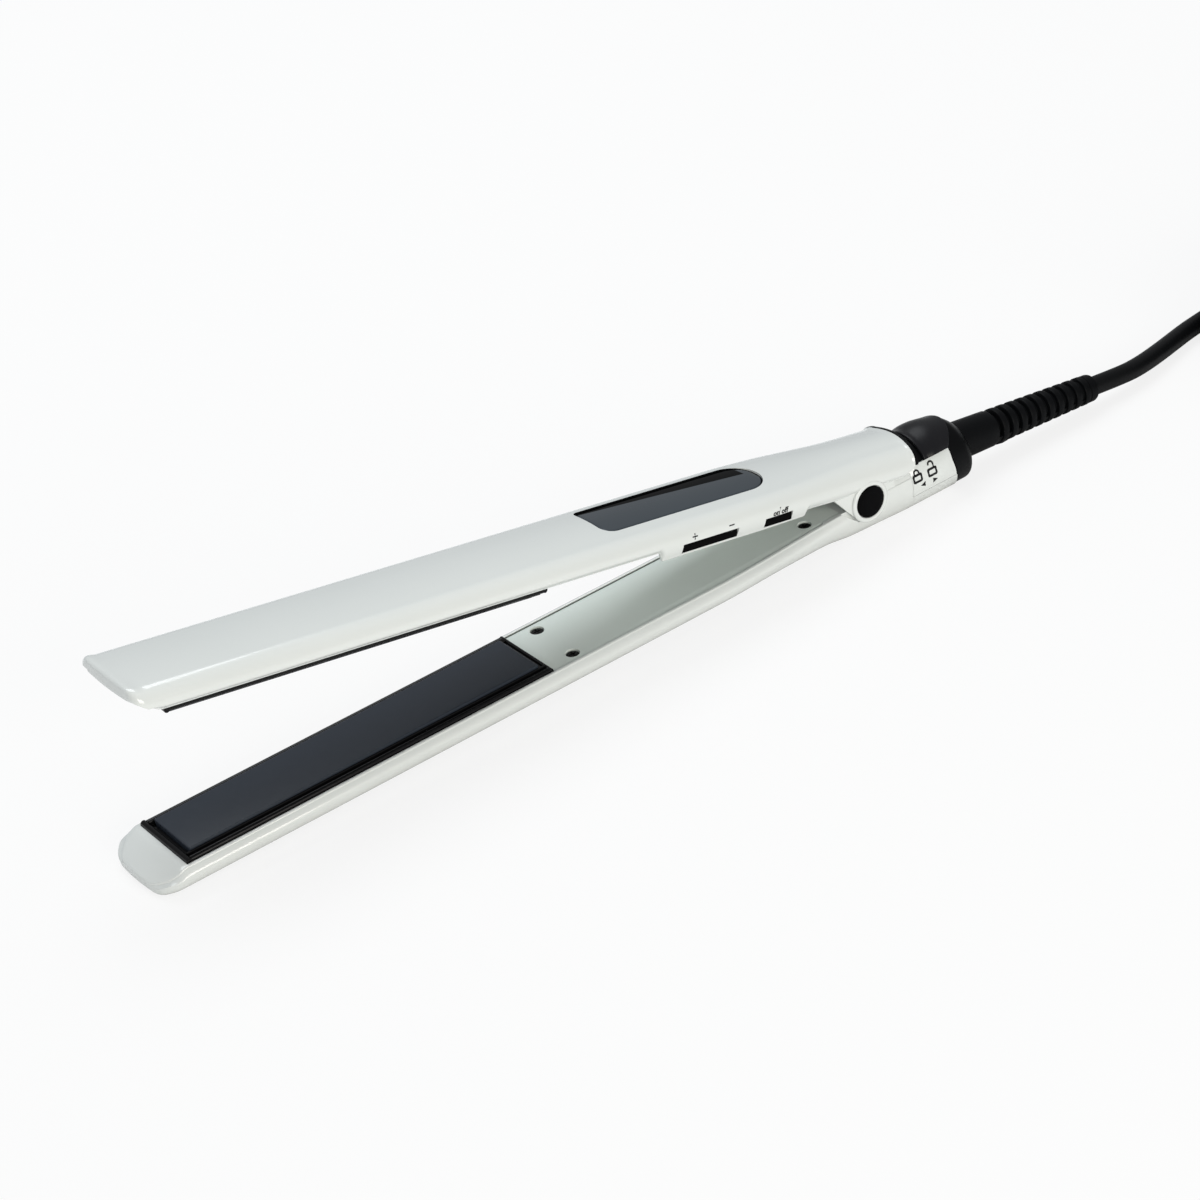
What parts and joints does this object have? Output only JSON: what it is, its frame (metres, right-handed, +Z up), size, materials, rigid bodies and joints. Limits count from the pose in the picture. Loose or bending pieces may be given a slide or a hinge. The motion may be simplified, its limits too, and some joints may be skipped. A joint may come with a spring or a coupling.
{
  "type": "hair straightener",
  "caption": "Slim two-arm hair straightener, sprung open, with floating hot plates, display window, side keys, lock slide, swivel lead guard and a stored hank of mains lead.",
  "frame": {"origin": "point of the resting surface under the hinge, in the middle of the appliance", "axes": "+X from the tips towards the lead, +Z up from the resting surface, -Y on the side of the keys"},
  "size_m": [0.5421, 0.0629, 0.067],
  "materials": {
    "white_shell": "smooth gloss",
    "silver_cover": "satin silver grey",
    "black_gloss": "polished black",
    "black_matte": "fine satin black",
    "plate_metal": "dark satin ceramic coating",
    "ceramic": "pale ceramic",
    "spring_steel": "bright steel",
    "screw_black": "blackened",
    "silicone": "matte",
    "smoked_lens": "smoked, polished",
    "display_grey": "matte",
    "board_green": "lacquered",
    "switch_dark": "matte",
    "brass": "plain",
    "cord_black": "satin"
  },
  "bodies": {
    "lower_arm": {"lower_shell": "white_shell", "lower_inner_cover": "silver_cover", "lower_plate_frame": "black_matte", "lower_cover_screws": "screw_black", "lower_plate_pads": "silicone", "hinge_block": "black_matte", "hinge_spring": "spring_steel", "rear_saddle": "white_shell", "slide_track": "black_matte", "lock_detent": "spring_steel", "end_collar": "black_gloss", "contact_carrier": "display_grey", "contact_brushes": "brass", "cord_lead": "cord_black", "cord_hank": "cord_black", "cord_tail": "cord_black", "cord_tie": "black_matte", "mains_plug": "black_gloss", "plug_pins": "brass"},
    "upper_arm": {"upper_shell": "white_shell", "upper_inner_cover": "silver_cover", "upper_plate_frame": "black_matte", "upper_cover_screws": "screw_black", "upper_plate_pads": "silicone", "display_window": "smoked_lens", "display_module": "display_grey", "circuit_board": "board_green", "board_switches": "switch_dark", "rocker_pin": "spring_steel", "hinge_pin": "spring_steel", "pivot_caps": "black_gloss", "tail_trim": "black_gloss"},
    "lower_heat_unit": {"lower_plate": "plate_metal", "lower_heater": "ceramic", "lower_heater_clip": "spring_steel", "lower_thermistor": "switch_dark"},
    "upper_heat_unit": {"upper_plate": "plate_metal", "upper_heater": "ceramic", "upper_heater_clip": "spring_steel", "upper_thermistor": "switch_dark"},
    "temp_key": {"temp_rocker": "black_matte"},
    "power_key": {"power_button": "black_matte"},
    "lock_slide_body": {"lock_slider": "black_gloss"},
    "cord_turn": {"swivel_spool": "black_matte", "slip_rings": "brass", "cord_guard": "cord_black"}
  },
  "joints": [
    {"name": "arm_hinge", "type": "hinge", "parent": "lower_arm", "child": "upper_arm", "pos_m": [-0.00036, 0, 0.01484], "axis": [0, -1, 0], "range_deg": [0, 10.2], "stiffness_Nm_per_rad": 0.5, "springref_deg": -28.65},
    {"name": "lower_plate_float", "type": "slide", "parent": "lower_arm", "child": "lower_heat_unit", "axis": [0.0245, 0, -0.9997], "range_m": [0, 0.0008], "stiffness_N_per_m": 2500, "springref_m": -0.0005, "deforming": ["lower_plate_pads"]},
    {"name": "upper_plate_float", "type": "slide", "parent": "upper_arm", "child": "upper_heat_unit", "axis": [0.1529, 0, 0.9882], "range_m": [0, 0.0008], "stiffness_N_per_m": 2500, "springref_m": -0.0005, "deforming": ["upper_plate_pads"]},
    {"name": "temp_rock", "type": "hinge", "parent": "upper_arm", "child": "temp_key", "pos_m": [-0.06323, -0.0119, 0.02973], "axis": [0.1529, 0, 0.9882], "range_deg": [-2.2, 2.2], "stiffness_Nm_per_rad": 0.05},
    {"name": "power_press", "type": "slide", "parent": "upper_arm", "child": "power_key", "axis": [0, 1, 0], "range_m": [0, 0.0006], "stiffness_N_per_m": 500, "springref_m": -0.0004},
    {"name": "lock_slide", "type": "slide", "parent": "lower_arm", "child": "lock_slide_body", "axis": [-0.9997, 0, -0.0245], "range_m": [0, 0.0045]},
    {"name": "cord_swivel", "type": "hinge", "parent": "lower_arm", "child": "cord_turn", "pos_m": [0.04022, 0, 0.01198], "axis": [0.997, 0, -0.077], "continuous": true}
  ]
}
